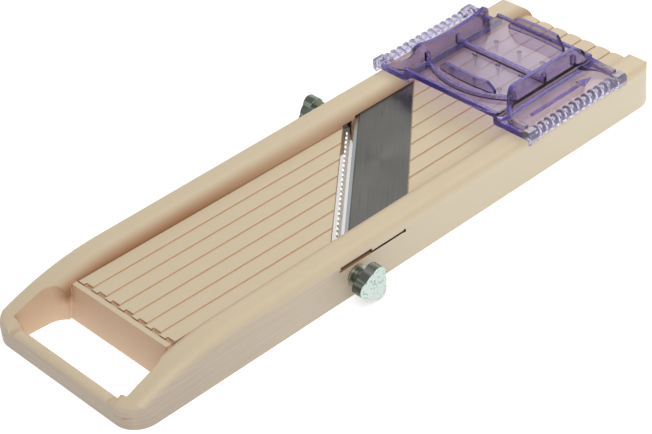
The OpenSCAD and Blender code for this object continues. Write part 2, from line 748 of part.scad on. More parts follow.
module hand_guard() color(violet) translate([guard_x, 0, 0]) {
    guard_panels();
    for (s = [-1, 1]) mirror([0, s > 0 ? 0 : 1, 0]) {
        arch_wall();
        grip_bar();
    }
    guard_ribs();
    guard_spikes();
}

// Cross-section of the panels: a raised middle, steep shoulders and flat wings over the rails
module panel_section() {
    w = panel_half_w;
    polygon([[-grip_in - 1, wing_z], [-w - 3.2, wing_z + 1.6], [-w - 1, panel_z - guard_t], [w + 1, panel_z - guard_t],
             [w + 3.2, wing_z + 1.6], [grip_in + 1, wing_z], [grip_in + 1, wing_z + guard_t],
             [w + 4.4, wing_z + 1.6 + guard_t], [w + 1.6, panel_z], [-w - 1.6, panel_z],
             [-w - 4.4, wing_z + 1.6 + guard_t], [-grip_in - 1, wing_z + guard_t]]);
}

module guard_panels() {
    along(-guard_half + 1, guard_half - 1) panel_section();
    // rims along the front and rear edges of the middle panel
    for (s = [-1, 1]) translate([s * (guard_half - guard_t / 2) - guard_t / 2, -panel_half_w, panel_z - guard_t + 0.3])
        cube([guard_t, 2 * panel_half_w, guard_t + 0.5]);
}

// Side wall seen from above: straight along the panel, turning out to the ends of the grip bar
module arch_plan() {
    r = 13;
    y0 = panel_half_w;
    x0 = arch_l / 2;
    translate([-x0, y0]) square([2 * x0, guard_t]);
    for (s = [-1, 1]) {
        intersection() {
            translate([s * x0, y0 + r]) difference() {
                circle(r);
                circle(r - guard_t);
            }
            translate([s > 0 ? x0 : -x0 - r, y0]) square([r, r]);
        }
        translate([s * (x0 + r - guard_t / 2) - guard_t / 2, y0 + r - eps]) square([guard_t, grip_in - y0 - r + 1]);
    }
}

// Height of the side wall along the frame
module arch_profile() {
    x0 = arch_l / 2;
    top = arch_z;
    low = wing_z + guard_t + 2;
    dip_r = (pow(x0 - 3, 2) + arch_sag * arch_sag) / (2 * arch_sag);
    difference() {
        union() {
            polygon([[-guard_half, wing_z], [guard_half, wing_z], [guard_half, low], [x0 + 7, low + 1.6],
                     [x0 - 3, top], [-x0 + 3, top], [-x0 - 7, low + 1.6], [-guard_half, low]]);
            for (s = [-1, 1]) translate([s * (x0 - 4), top - 3.4]) circle(3.4);
        }
        translate([0, top - arch_sag + dip_r]) circle(dip_r, $fn = 180);
    }
}

module arch_wall()
    intersection() {
        translate([0, 0, wing_z]) linear_extrude(arch_z) arch_plan();
        crosswise(guard_half_w) arch_profile();
    }

// Ribbed bar outside the rail, with smooth blocks at its ends
module grip_bar() {
    block = 5;
    z0 = rail_h - 2.5;
    h = 5.6;
    pitch = (grip_l - 2 * block) / grip_ribs;
    translate([0, grip_in + grip_w / 2, 0]) {
        along(-guard_half, guard_half) grip_section(grip_w - 1.6, z0 + 0.6, h - 1.2);
        for (s = [-1, 1]) along(s > 0 ? guard_half - block : -guard_half, s > 0 ? guard_half : -guard_half + block)
            grip_section(grip_w, z0, h);
        for (k = [0:grip_ribs - 1]) along(-guard_half + block + (k + 0.25) * pitch, -guard_half + block + (k + 0.8) * pitch)
            grip_section(grip_w, z0, h);
    }
}

module grip_section(w, z, h)
    difference() {
        union() {
            translate([-w / 2, z]) square([w, h - w / 2]);
            translate([0, z + h - w / 2]) circle(w / 2);
        }
        translate([-w, z - 1]) square([w + w / 2 - guard_t, wing_z - z + 1]);
    }

module guard_ribs() {
    arc_r = 43;
    arc_x = -guard_half + 2.5 + arc_r;
    // middle rib
    translate([-1.5 - guard_t / 2, -panel_half_w, panel_z - eps]) cube([guard_t, 2 * panel_half_w, 1.8]);
    // curved rib near the front edge
    translate([0, 0, panel_z - eps]) linear_extrude(2.2) intersection() {
        translate([arc_x, 0]) difference() {
            circle(arc_r, $fn = 96);
            circle(arc_r - guard_t * 0.8, $fn = 96);
        }
        translate([-guard_half, -panel_half_w]) square([20, 2 * panel_half_w]);
    }
    // upright finger stops at the front and rear
    for (s = [-1, 1]) mirror([s > 0 ? 0 : 1, 0, 0]) intersection() {
        translate([0, 0, panel_z - eps]) linear_extrude(stop_front_h) intersection() {
            translate([guard_half - stop_in - stop_r, 0]) difference() {
                circle(stop_r, $fn = 96);
                circle(stop_r - guard_t, $fn = 96);
            }
            translate([0, -stop_half_w]) square([guard_half, 2 * stop_half_w]);
        }
        along(0, guard_half) finger_stop_outline(s > 0 ? stop_front_h : stop_rear_h);
    }
}

// Upright finger stop seen along the frame
module finger_stop_outline(h) {
    foot = stop_half_w;
    top = stop_half_w - stop_slant;
    polygon([[-foot, panel_z - 1], [foot, panel_z - 1], [foot, panel_z + guard_t], [top, panel_z + h],
             [-top, panel_z + h], [-foot, panel_z + guard_t]]);
}

// Spikes that hold the food
module guard_spikes()
    for (i = [-1:1], j = [-1:1]) translate([i * spike_pitch, j * spike_pitch, panel_z - guard_t - spike_l + eps])
        cylinder(d1 = spike_d / 3, d2 = spike_d, h = spike_l, $fn = 24);

body_frame();
front_plate();
plate_nut();
main_blade();
blade_screws();
bridge_bar();
bridge_screws();
adjuster_screw();
adjuster_knob();
retaining_ring();
comb_blade();
near_insert();
near_clamp_pad();
near_clamp_stud();
near_clamp_knob();
near_washer();
far_insert();
far_clamp_pad();
far_clamp_stud();
far_clamp_knob();
far_washer();
hand_guard();
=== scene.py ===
"""Looks of the mandoline slicer: materials, the finer hand guard, floor, light and camera. Metres, +Z up."""
import math

import bmesh
import bpy
from mathutils import Matrix, Vector


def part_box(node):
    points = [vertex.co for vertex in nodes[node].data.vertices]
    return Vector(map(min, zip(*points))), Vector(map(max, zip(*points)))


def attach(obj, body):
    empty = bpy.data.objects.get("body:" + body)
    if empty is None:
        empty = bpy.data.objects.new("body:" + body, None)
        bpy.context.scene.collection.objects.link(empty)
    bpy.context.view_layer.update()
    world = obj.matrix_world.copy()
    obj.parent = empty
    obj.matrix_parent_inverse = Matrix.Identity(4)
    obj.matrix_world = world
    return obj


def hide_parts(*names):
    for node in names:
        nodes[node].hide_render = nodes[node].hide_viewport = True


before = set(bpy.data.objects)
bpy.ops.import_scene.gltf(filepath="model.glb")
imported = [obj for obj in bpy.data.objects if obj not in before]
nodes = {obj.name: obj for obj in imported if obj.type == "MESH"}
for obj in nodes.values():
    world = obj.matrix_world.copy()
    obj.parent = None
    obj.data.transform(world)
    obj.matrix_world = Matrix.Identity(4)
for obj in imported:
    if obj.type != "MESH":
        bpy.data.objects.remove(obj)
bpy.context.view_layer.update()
MM = 0.001

# ---------- driving values ----------

CAMERA_AT = Vector((-466.658, -550.484, 521.893)) * MM
CAMERA_AZIMUTH = -39.654       # degrees from a view along +Y
CAMERA_ELEVATION = 36.053
CAMERA_ROLL = -5.819
LENS = 114.6952
SENSOR = 36.0

HALF_L, HALF_W, FRAME_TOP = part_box("body_frame")[1]
CHANNEL = 30.1 * MM            # half the distance between the rails
WALL_FOOT_SHADE_W = 5.5 * MM         # width of the painted brown shade at the foot of the rails' inner walls
SLOT_IN = CHANNEL + 8 * MM     # the blade's slot in the rail lies farther out than this
EDGE_RADIUS = 0.35 * MM        # softening of the moulded edges

SKEW = 1.062                   # run of the cutting edge along X for each metre across
EDGE_X = 5 * MM                # where the cutting edge crosses the middle
BEVEL_W = 2.2 * MM             # width of the ground bevel, along X

# ---------- sizes of the moulded details, in millimetres, with Z measured from the table ----------

RAIL_H = FRAME_TOP / MM
ROUND_STEPS = 20

# Rear corners of the frame
TAIL_R = 13.0                  # radius of the corners
TAIL_WALL = 2.4
TAIL_SKIN = 0.04               # how far the added wall stays inside the frame's outer faces
TAIL_TOP = RAIL_H - 4.7        # a little above the roof of the rails' hollows
TAIL_ARC = (28, 70)            # degrees from +X at which the added wall begins and ends

# Hand guard, with X measured from its middle
SHEET = 2.0                    # thickness of the panel, the wings and the walls
GUARD_HALF = 31.0              # half the length of the grip bars
GUARD_HALF_W = HALF_W / MM + 2.3
RAIL_GAP = 0.3                 # between the guard and the rails, above them and beside them
WING_Z = RAIL_H + RAIL_GAP     # underside of the wings
WING_TOP = WING_Z + SHEET
PANEL_Z = 26.2                 # top of the middle panel
PANEL_HALF_W = 26.2
FILLET_R = 3.0                 # where the shoulders run into the wings
RIM_L = 1.6                    # raised rims along both ends of the sheet
RIM_H = 0.7
JOIN = 0.2                     # how deep a piece is sunk into the sheet that it stands on
WALL_JOIN = 0.5                # how deep a piece runs into the side walls

NEAR_WALL_Z = 35.3
FAR_WALL_Z = 35.2
FAR_WALL_SAG = 2.2             # how far the far wall's top dips in the middle
WALL_HALF = 17.5               # half the straight part of the side walls
WALL_TOP_HALF = WALL_HALF + 2  # half the length of their tops, between the rounded corners
WALL_TURN_R = 12.0             # radius at which the walls turn out to the grip bars
WALL_CORNER_R = 4.4
FALL_R = 13.0                  # radius of the concave fall of the walls' turned ends
FALL_LOW = WING_TOP + 3.4      # its lowest point
FALL_OUT = 0.8                 # how far the fall ends outside the centre of the walls' turn

GRIP_W = 6.0
GRIP_IN = GUARD_HALF_W - GRIP_W
GRIP_LAP = 1.6                 # how far the sheet runs into the grip bars
WALL_LAP = 1.0                 # how far the walls run into them
BLOCK_L = 5.0                  # chamfered blocks at the ends of the grip bars
BLOCK_H = 6.8
BLOCK_CUT = 1.3
BLOCK_TOP = WING_TOP + 2.3
BEADS = 13
BEAD_R = 3.3
BEAD_ROUND = 0.31              # radius of a bead's rounded rim, as a share of the beads' pitch
BEAD_IN = 0.3                  # the beads' axis lies this far inside the blocks' middle
BEAD_DOWN = 0.1                # and the beads this far below the blocks' top
CORE_R = 2.3                   # core that carries the beads

RIB_H = 2.2                    # height of the ribs on the panel
MIDDLE_RIB = (0.2, 2.2)        # front and rear face of the middle rib
CURVED_RIB_R = 43.0
CURVED_RIB_T = 1.6
CURVED_RIB_X = 3.4             # from the guard's front end to the curved rib
FRONT_STOP = (-21.2, 5.2)      # place and height of the finger stops
REAR_STOP = (27.4, 6.8)
STOP_R = 120.0                 # their radius, seen from above
STOP_T = 1.6
STOP_FOOT = 16.4               # half the length of a stop's foot
STOP_TIP = 11.4                # and what its sloping ends leave of that 1 mm above its top
PEG_PLACES = (-18.5, 1.2, 20.3)
PEG_HALF = 0.9                 # half a peg's thickness
PEG_OUT = 1.8                  # how far the pegs stand out from the walls
PEG_H = 4.6
SPIKE_ROWS = 3
SPIKE_PITCH = 14.0
SPIKE_L = 6.0
SPIKE_R = 1.2
SPIKE_TIP_R = 0.4
ARROW_TAIL = -17.6
ARROW_NECK = 14.0
ARROW_TIP = 20.9
ARROW_Y = -36.2
ARROW_HALF = 0.7
ARROW_HEAD_HALF = 2.6
ARROW_H = 0.5


def srgb(red, green, blue):
    """Linear colour of an sRGB colour written with parts from 0 to 255."""
    def linear(part):
        part /= 255
        return part / 12.92 if part <= 0.04045 else ((part + 0.055) / 1.055) ** 2.4
    return (linear(red), linear(green), linear(blue), 1)


# ---------- node helpers ----------

class Graph:
    """Adds nodes to the tree of a material or of the world."""

    def __init__(self, owner):
        owner.use_nodes = True
        self.tree = owner.node_tree
        self.tree.nodes.clear()

    def add(self, kind, inputs=None, **settings):
        node = self.tree.nodes.new(kind)
        for name, value in settings.items():
            setattr(node, name, value)
        for name, value in (inputs or {}).items():
            self.feed(node.inputs[name], value)
        return node

    def feed(self, socket, value):
        if isinstance(value, bpy.types.NodeSocket):
            self.tree.links.new(value, socket)
        else:
            socket.default_value = value

    def place(self, stretch=(1, 1, 1), turn=0):
        """Position on the object, divided by stretch so that a pattern is drawn out along that axis."""
        position = self.add("ShaderNodeTexCoord").outputs["Object"]
        turned_place = self.add("ShaderNodeMapping", {"Vector": position, "Rotation": (0, 0, turn)})
        scale = tuple(1 / part for part in stretch)
        return self.add("ShaderNodeMapping", {"Vector": turned_place.outputs[0], "Scale": scale}).outputs[0]

    def noise(self, where, size, detail=3, roughness=0.55):
        """Soft noise whose blotches are about size metres wide."""
        return self.add("ShaderNodeTexNoise", {"Vector": where, "Scale": 1 / size, "Detail": detail,
                                               "Roughness": roughness}).outputs["Fac"]

    def between(self, value, low, high, at_low=0.0, at_high=1.0):
        """Ramp from at_low to at_high while the value goes from low to high."""
        return self.add("ShaderNodeMapRange", {"Value": value, "From Min": low, "From Max": high,
                                               "To Min": at_low, "To Max": at_high}).outputs[0]

    def math(self, operation, first, second=0.0):
        node = self.add("ShaderNodeMath", operation=operation)
        self.feed(node.inputs[0], first)
        self.feed(node.inputs[1], second)
        return node.outputs[0]

    def mix(self, factor, first, second):
        """Mixes two colours."""
        node = self.add("ShaderNodeMix", data_type="RGBA", blend_type="MIX")
        self.feed(node.inputs[0], factor)
        self.feed(node.inputs[6], first)
        self.feed(node.inputs[7], second)
        return node.outputs[2]

    def axis(self, vector, name):
        return self.add("ShaderNodeSeparateXYZ", {"Vector": vector}).outputs[name]

    def size(self, vector, name):
        """Part of a vector along an axis, without its sign."""
        return self.math("ABSOLUTE", self.axis(vector, name))

    def facing(self):
        """Normal in the object's own axes."""
        return self.add("ShaderNodeTexCoord").outputs["Normal"]

    def openness(self, reach):
        """1 on open faces, less in corners and grooves that have another face within reach metres."""
        return self.add("ShaderNodeAmbientOcclusion", {"Distance": reach}, samples=8,
                        only_local=True).outputs["AO"]

    def soft_edges(self, radius=EDGE_RADIUS):
        return self.add("ShaderNodeBevel", {"Radius": radius}, samples=6).outputs[0]

    def bump(self, height, depth, normal):
        """Relief whose height, from 0 to 1, stands for depth metres."""
        return self.add("ShaderNodeBump", {"Height": height, "Distance": depth, "Strength": 1.0,
                                           "Normal": normal}).outputs[0]

    def seen_directly(self):
        """1 for rays from the camera, from reflections and through clear plastic, 0 for the rest."""
        ray = self.add("ShaderNodeLightPath").outputs
        seen = self.math("MAXIMUM", ray["Is Camera Ray"], ray["Is Glossy Ray"])
        return self.math("MAXIMUM", seen, ray["Is Transmission Ray"])

    def blend(self, factor, first, second):
        """Mixes two shader nodes."""
        node = self.add("ShaderNodeMixShader", {"Fac": factor})
        self.tree.links.new(first.outputs[0], node.inputs[1])
        self.tree.links.new(second.outputs[0], node.inputs[2])
        return node

    def surface(self, shader, kind="ShaderNodeOutputMaterial"):
        out = self.add(kind)
        self.tree.links.new(shader.outputs[0], out.inputs["Surface"])
        return out


def dress(material, *names):
    """Gives CAD nodes a finished material in place of the plain one."""
    for name in names:
        for slot in nodes[name].material_slots:
            slot.link = "OBJECT"
            slot.material = material


# ---------- cream plastic ----------

def cream_tone(graph, where, cloud):
    """Cream of the tops: paler to the open end, with faint clouds and mottling."""
    mottle = graph.noise(where, 5 * MM, 4, 0.6)
    along = graph.between(graph.axis(where, "X"), -HALF_L, HALF_L)
    tone = graph.mix(along, srgb(203, 187, 157), srgb(216, 198, 164))
    tone = graph.mix(graph.between(cloud, 0.3, 0.7, 0.0, 0.35), tone, srgb(209, 189, 162))
    return graph.mix(graph.between(mottle, 0.35, 0.75, 0.0, 0.12), tone, srgb(190, 172, 148))


def outer_side_shade_and_lines(graph, where, flow_lines):
    """Cream of the outer sides with painted light and shade: greyer and darker to the handle, palest at the
    open end; finely lined to the handle.
    """
    place = graph.axis(where, "X")
    middle = 20 * MM
    tone = graph.mix(graph.between(place, -HALF_L, middle), srgb(196, 180, 162), srgb(226, 212, 186))
    tone = graph.mix(graph.between(place, middle, HALF_L), tone, srgb(236, 224, 198))
    along = graph.between(place, -HALF_L, HALF_L)
    lined = graph.math("MULTIPLY", graph.between(flow_lines, 0.4, 0.62),
                       graph.between(along, 0.1, 0.5, 0.35, 0.0))
    return graph.mix(lined, tone, srgb(172, 155, 140))


def outer_sides(graph, where, upright):
    """1 on the upright faces of the outer sides and of the handle's end, 0 elsewhere."""
    side = graph.between(graph.size(where, "Y"), HALF_W - 4 * MM, HALF_W - 2 * MM)
    end = graph.between(graph.axis(where, "X"), 5 * MM - HALF_L, 2 * MM - HALF_L)
    return graph.math("MULTIPLY", upright, graph.math("MAXIMUM", side, end))


def wall_foot_shade(graph, where):
    """Share of painted brown shade at the foot of the rails' inner walls, most to the handle."""
    across = graph.size(where, "Y")
    near_foot = graph.math("POWER", graph.between(across, CHANNEL + WALL_FOOT_SHADE_W, CHANNEL + 0.4 * MM), 1.6)
    feet = graph.math("MULTIPLY", near_foot, graph.between(across, CHANNEL - 0.3 * MM, CHANNEL - 0.05 * MM))
    return graph.math("MULTIPLY", feet, graph.between(graph.axis(where, "X"), -60 * MM, 10 * MM, 0.95, 0.32))


def slot_share(graph, where, groove):
    """Where the narrow slot for the blade opens in the rail's outer side."""
    narrow = graph.between(groove, 0.75, 0.97, 1.0, 0.0)
    return graph.math("MULTIPLY", narrow, graph.between(graph.size(where, "Y"), SLOT_IN, SLOT_IN + 1 * MM))


def cream_plastic():
    """Cream moulding, with painted brown shade in its corners, at the feet of its inner walls and in the
    blade's slot, and painted warm light on its inner walls and in its grooves.
    """
    material = bpy.data.materials.new("cream_moulding")
    graph = Graph(material)
    where = graph.place()
    place, level = graph.axis(where, "X"), graph.axis(where, "Z")
    cloud = graph.noise(where, 45 * MM, 3)
    grain = graph.noise(where, 0.35 * MM, 2)
    flow_lines = graph.noise(graph.place((60, 60, 1)), 0.55 * MM, 3, 0.6)
    upright = graph.between(graph.size(graph.facing(), "Z"), 0.35, 0.8, 1.0, 0.0)
    outer = outer_sides(graph, where, upright)
    # outer sides: painted shade, greyer and darker to the handle, palest at the open end
    tone = graph.mix(outer, cream_tone(graph, where, cloud), outer_side_shade_and_lines(graph, where, flow_lines))
    # inner walls: painted warm light, palest at the foot and browner higher up
    inner = graph.math("MULTIPLY", upright, graph.between(outer, 0.0, 0.2, 0.6, 0.0))
    inner_wall_light = graph.mix(graph.between(level, 1 * MM, 15 * MM), srgb(240, 206, 176), srgb(212, 170, 140))
    tone = graph.mix(inner, tone, inner_wall_light)
    # painted brown shade in corners and at the foot of the rails' inner walls, above the plate
    corner = graph.between(graph.openness(8 * MM), 0.45, 0.95, 0.9, 0.0)
    corner = graph.math("MAXIMUM", wall_foot_shade(graph, where), corner)
    above_plate = graph.between(level, 7 * MM, 11 * MM)
    tone = graph.mix(graph.math("MULTIPLY", corner, above_plate), tone, srgb(164, 118, 82))
    # grooves: painted warm light, pale orange where a groove is tight
    groove = graph.openness(1.1 * MM)
    tone = graph.mix(graph.between(groove, 0.3, 0.8, 0.8, 0.0), tone, srgb(255, 224, 186))
    # the blade's slot: painted orange glow beside the knob, painted shade near black beyond it
    slot_glow_and_shade = graph.mix(graph.between(place, -40 * MM, -20 * MM), srgb(196, 122, 76), srgb(52, 32, 22))
    tone = graph.mix(slot_share(graph, where, groove), tone, slot_glow_and_shade)
    bumped = graph.bump(grain, 0.008 * MM, graph.soft_edges())
    bumped = graph.bump(graph.math("MULTIPLY", flow_lines, outer), 0.008 * MM, bumped)
    graph.surface(graph.add("ShaderNodeBsdfPrincipled", {
        "Base Color": tone, "Roughness": graph.between(cloud, 0.3, 0.7, 0.38, 0.5), "IOR": 1.5,
        "Subsurface Weight": 0.06, "Subsurface Radius": (1.2, 0.8, 0.5), "Subsurface Scale": 1.5 * MM,
        "Normal": bumped}))
    return material


# ---------- violet plastic ----------

def edge_share(graph, where, grips):
    """Where light that has run along the sheet comes out: at its end rims and the tops of walls and ribs."""
    facing = graph.facing()
    low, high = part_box("hand_guard")
    middle = (low[0] + high[0]) / 2
    from_middle = graph.math("ABSOLUTE", graph.math("SUBTRACT", graph.axis(where, "X"), middle))
    rims = graph.math("MULTIPLY", graph.between(graph.size(facing, "X"), 0.7, 0.9),
                      graph.between(from_middle, (GUARD_HALF - 1.2) * MM, (GUARD_HALF - 0.6) * MM))
    # the panel's underside is left out, because a face seen from inside counts as one that faces up
    level = graph.axis(where, "Z")
    panel_foot = PANEL_Z - SHEET
    over_wing = graph.math("MULTIPLY", graph.between(level, (WING_TOP + 0.3) * MM, (WING_TOP + 0.45) * MM),
                           graph.between(level, (panel_foot - 0.6) * MM, (panel_foot - 0.3) * MM, 1.0, 0.0))
    over_panel = graph.between(level, (PANEL_Z + 0.4) * MM, (PANEL_Z + 0.6) * MM)
    tops = graph.math("MULTIPLY", graph.between(graph.axis(facing, "Z"), 0.55, 0.85),
                      graph.math("MAXIMUM", over_wing, over_panel))
    glints = graph.noise(where, 4 * MM, 3)
    edges = graph.math("MULTIPLY", graph.math("MAXIMUM", rims, tops),
                       graph.between(grips, 0.0, 1.0, 1.0, 0.0))
    return graph.math("MULTIPLY", edges, graph.between(glints, 0.35, 0.65, 0.8, 0.45))


def violet_plastic():
    """Clear violet moulding: pale through the sheet, with painted indigo light at its edges; nearly clear at
    the grips, with a painted pale sheen.
    """
    material = bpy.data.materials.new("violet_clear_moulding")
    graph = Graph(material)
    where = graph.place()
    wave = graph.noise(where, 9 * MM, 2)
    haze = graph.noise(where, 0.5 * MM, 3)
    normal = graph.bump(wave, 0.05 * MM, graph.soft_edges())
    across = graph.size(where, "Y")
    grips = graph.between(across, (GRIP_IN + 0.2) * MM, (GRIP_IN + 1.2) * MM)
    wings = graph.between(across, (PANEL_HALF_W + 3) * MM, (PANEL_HALF_W + 7) * MM)
    tone = graph.mix(graph.between(wave, 0.3, 0.7), srgb(213, 203, 230), srgb(206, 196, 225))
    tone = graph.mix(wings, tone, srgb(236, 228, 238))
    tone = graph.mix(grips, tone, srgb(248, 247, 251))
    glass = graph.add("ShaderNodeBsdfPrincipled", {
        "Base Color": tone, "Roughness": graph.between(haze, 0.3, 0.75, 0.04, 0.12), "IOR": 1.49,
        "Transmission Weight": 1.0, "Normal": normal})
    indigo = graph.add("ShaderNodeBsdfPrincipled", {
        "Base Color": srgb(84, 66, 168), "Roughness": 0.25, "IOR": 1.49, "Normal": normal})
    pale = graph.add("ShaderNodeBsdfPrincipled", {
        "Base Color": srgb(216, 213, 232), "Roughness": 0.2, "IOR": 1.49, "Normal": normal})
    shade = graph.add("ShaderNodeBsdfTransparent", {"Color": srgb(250, 250, 252)})
    # painted indigo light at the edges, patchy with the glints
    plastic = graph.blend(edge_share(graph, where, grips), glass, indigo)
    # a painted pale sheen on the grips: an opaque share over their dark refractions
    plastic = graph.blend(graph.math("MULTIPLY", grips, 0.16), plastic, pale)
    in_shadow = graph.add("ShaderNodeLightPath").outputs["Is Shadow Ray"]
    out = graph.surface(graph.blend(in_shadow, plastic, shade))
    tint = graph.add("ShaderNodeVolumeAbsorption", {"Color": srgb(180, 173, 208), "Density": 160.0})
    graph.tree.links.new(tint.outputs[0], out.inputs["Volume"])
    return material


# ---------- metals ----------

def brushed_steel():
    """Blade sheet with painted reflections: its flat painted dark, and the ground bevel along the cutting
    edge painted bright and bluish.
    """
    material = bpy.data.materials.new("blade_sheet")
    graph = Graph(material)
    where = graph.place()
    streaks = graph.noise(graph.place((60, 1, 1), -math.atan2(1, SKEW)), 0.5 * MM, 5, 0.7)
    cloud = graph.noise(where, 20 * MM, 3)
    lag = graph.math("MULTIPLY", graph.axis(where, "Y"), SKEW)
    from_edge = graph.math("SUBTRACT", graph.math("SUBTRACT", graph.axis(where, "X"), lag), EDGE_X)
    ground = graph.between(from_edge, BEVEL_W - 0.1 * MM, BEVEL_W + 0.1 * MM, 1.0, 0.0)
    # painted reflections: the flat's dark base colours here and the bevel's bright bluish one below
    flat = graph.mix(graph.between(streaks, 0.35, 0.65), srgb(86, 85, 82), srgb(99, 98, 95))
    flat = graph.mix(graph.between(cloud, 0.35, 0.7, 0.0, 0.5), flat, srgb(82, 82, 80))
    graph.surface(graph.add("ShaderNodeBsdfPrincipled", {
        "Base Color": graph.mix(ground, flat, srgb(158, 163, 167)), "Metallic": 1.0,
        "Roughness": graph.between(streaks, 0.3, 0.7, 0.26, 0.4), "Anisotropic": 0.5,
        "Normal": graph.bump(streaks, 0.01 * MM, graph.soft_edges(0.1 * MM))}))
    return material


def turned_metal(name, colour, worn, rough, edge=0.2 * MM, sides=None, speck=0.5 * MM):
    """Plated or turned metal with fine specks of the worn colour, and soft edges of the radius edge.

    Sides, if given, is the colour of a painted dark reflection, streaked, on the faces that don't look along
    Y.
    """
    material = bpy.data.materials.new(name)
    graph = Graph(material)
    where = graph.place()
    specks = graph.noise(where, speck, 3, 0.6)
    cloud = graph.noise(where, 6 * MM, 3)
    tone = graph.mix(graph.between(specks, 0.57, 0.68), colour, worn)
    if sides:
        # painted dark reflection, streaked, on the faces that don't look along Y
        along_y = graph.between(graph.size(graph.facing(), "Y"), 0.5, 0.85)
        streak = graph.noise(graph.place((1, 14, 1)), 2.5 * MM, 2)
        tone = graph.mix(along_y, graph.mix(graph.between(streak, 0.4, 0.7, 0.0, 0.4), sides, colour), tone)
    graph.surface(graph.add("ShaderNodeBsdfPrincipled", {
        "Base Color": tone, "Metallic": 1.0,
        "Roughness": graph.between(cloud, 0.3, 0.7, rough, rough + 0.12),
        "Normal": graph.bump(specks, 0.012 * MM, graph.soft_edges(edge))}))
    return material


# ---------- solids ----------

def arc(centre, radius, start, end, steps=ROUND_STEPS):
    """Points on an arc between two angles in degrees."""
    angles = [math.radians(start + (end - start) * step / steps) for step in range(steps + 1)]
    return [(centre[0] + radius * math.cos(angle), centre[1] + radius * math.sin(angle)) for angle in angles]


def closed_mesh(points, faces):
    """Object with outward faces, for use in a boolean."""
    mesh = bpy.data.meshes.new("form")
    mesh.from_pydata(points, [], faces)
    form = bmesh.new()
    form.from_mesh(mesh)
    bmesh.ops.recalc_face_normals(form, faces=form.faces)
    form.to_mesh(mesh)
    form.free()
    solid = bpy.data.objects.new("form", mesh)
    bpy.context.scene.collection.objects.link(solid)
    return solid


def prism(outline, axis, low, high):
    """Solid with one outline all along an axis: (y, z) along x, (x, z) along y and (x, y) along z."""
    def at(point, level):
        return {"x": (level, *point), "y": (point[0], level, point[1]), "z": (*point, level)}[axis]
    count = len(outline)
    points = [at(point, level) for level in (low, high) for point in outline]
    faces = [tuple(range(count)), tuple(range(count, 2 * count))]
    faces += [(k, (k + 1) % count, count + (k + 1) % count, count + k) for k in range(count)]
    return closed_mesh(points, faces)


def block(low, high):
    """Block between two opposite corners."""
    outline = [(low[0], low[1]), (high[0], low[1]), (high[0], high[1]), (low[0], high[1])]
    return prism(outline, "z", low[2], high[2])


def turned(profile, place, axis, steps=28):
    """Solid turned about an axis through a place. The profile's points are (along the axis, radius)."""
    points = []
    for step in range(steps):
        angle = 2 * math.pi * step / steps
        for level, radius in profile:
            across = (radius * math.cos(angle), radius * math.sin(angle))
            offset = {"x": (level, *across), "z": (*across, level)}[axis]
            points.append(tuple(start + part for start, part in zip(place, offset)))
    count = len(profile)
    faces = []
    for step in range(steps):
        this, following = step * count, (step + 1) % steps * count
        faces += [(this + k, this + k + 1, following + k + 1, following + k) for k in range(count - 1)]
    faces += [tuple(step * count + k for step in range(steps)) for k in (0, count - 1)]
    return closed_mesh(points, faces)


def combine(base, operation, tools):
    """Joins, cuts or intersects a solid with each tool, and applies the result."""
    for tool in tools:
        step = base.modifiers.new("step", "BOOLEAN")
        step.operation = operation
        step.solver = "MANIFOLD"
        step.object = tool
    done = bpy.data.meshes.new_from_object(base.evaluated_get(bpy.context.evaluated_depsgraph_get()))
    base.modifiers.clear()
    base.data = done
    for tool in tools:
        bpy.data.objects.remove(tool)
    return base


# ---------- hand guard ----------

def sheet_outline(thickness):
    """Cross-section of the sheet: a panel between the side walls, and a wing over each rail."""
    web = PANEL_HALF_W + SHEET
    under = PANEL_Z - SHEET
    tip = GRIP_IN + GRIP_LAP
    corner = (web + FILLET_R, WING_Z + thickness + FILLET_R)
    half = [(PANEL_HALF_W, under), (PANEL_HALF_W, WING_Z), (tip, WING_Z), (tip, WING_Z + thickness)]
    half += arc(corner, FILLET_R, 270, 180, 8) + [(web, under + thickness)]
    return half + [(-y, z) for y, z in reversed(half)]


def wall_plan():
    """Near side wall seen from above: straight along the panel, turning out to the ends of the grip bar."""
    foot = -GRIP_IN - WALL_LAP
    turn_y = -PANEL_HALF_W - WALL_TURN_R
    points = []
    # along the face to the panel, and back along the other face
    for side, radius in ((-1, WALL_TURN_R), (1, WALL_TURN_R - SHEET)):
        away, back = (180, 0) if side < 0 else (0, 180)
        path = arc((side * WALL_HALF, turn_y), radius, away, 90)
        path += arc((-side * WALL_HALF, turn_y), radius, 90, back)
        points += [(path[0][0], foot)] + path + [(path[-1][0], foot)]
    return points


def wall_side(top, sag):
    """Side wall seen across the guard: rounded ends, and a top that dips by sag."""
    flat, corner_z = WALL_TOP_HALF, top - WALL_CORNER_R
    points = [(-flat - WALL_CORNER_R, WING_Z), (flat + WALL_CORNER_R, WING_Z)]
    points += arc((flat, corner_z), WALL_CORNER_R, 0, 90, 10)
    if sag:
        radius = (flat ** 2 + sag ** 2) / (2 * sag)
        reach = math.degrees(math.asin(flat / radius))
        points += arc((0, top - sag + radius), radius, 270 + reach, 270 - reach)[1:-1]
    return points + arc((-flat, corner_z), WALL_CORNER_R, 90, 180, 10)


def wall_fall(top):
    """Near wall's turned ends seen along the guard: a concave fall to the grip bar."""
    foot = -GRIP_IN - WALL_LAP
    centre = (-PANEL_HALF_W - WALL_TURN_R - FALL_OUT, FALL_LOW + FALL_R)
    start = math.degrees(math.asin((top - centre[1]) / FALL_R))
    points = [(foot, WING_Z), (-PANEL_HALF_W, WING_Z), (-PANEL_HALF_W, top)]
    return points + arc(centre, FALL_R, start, -90) + [(foot, FALL_LOW)]


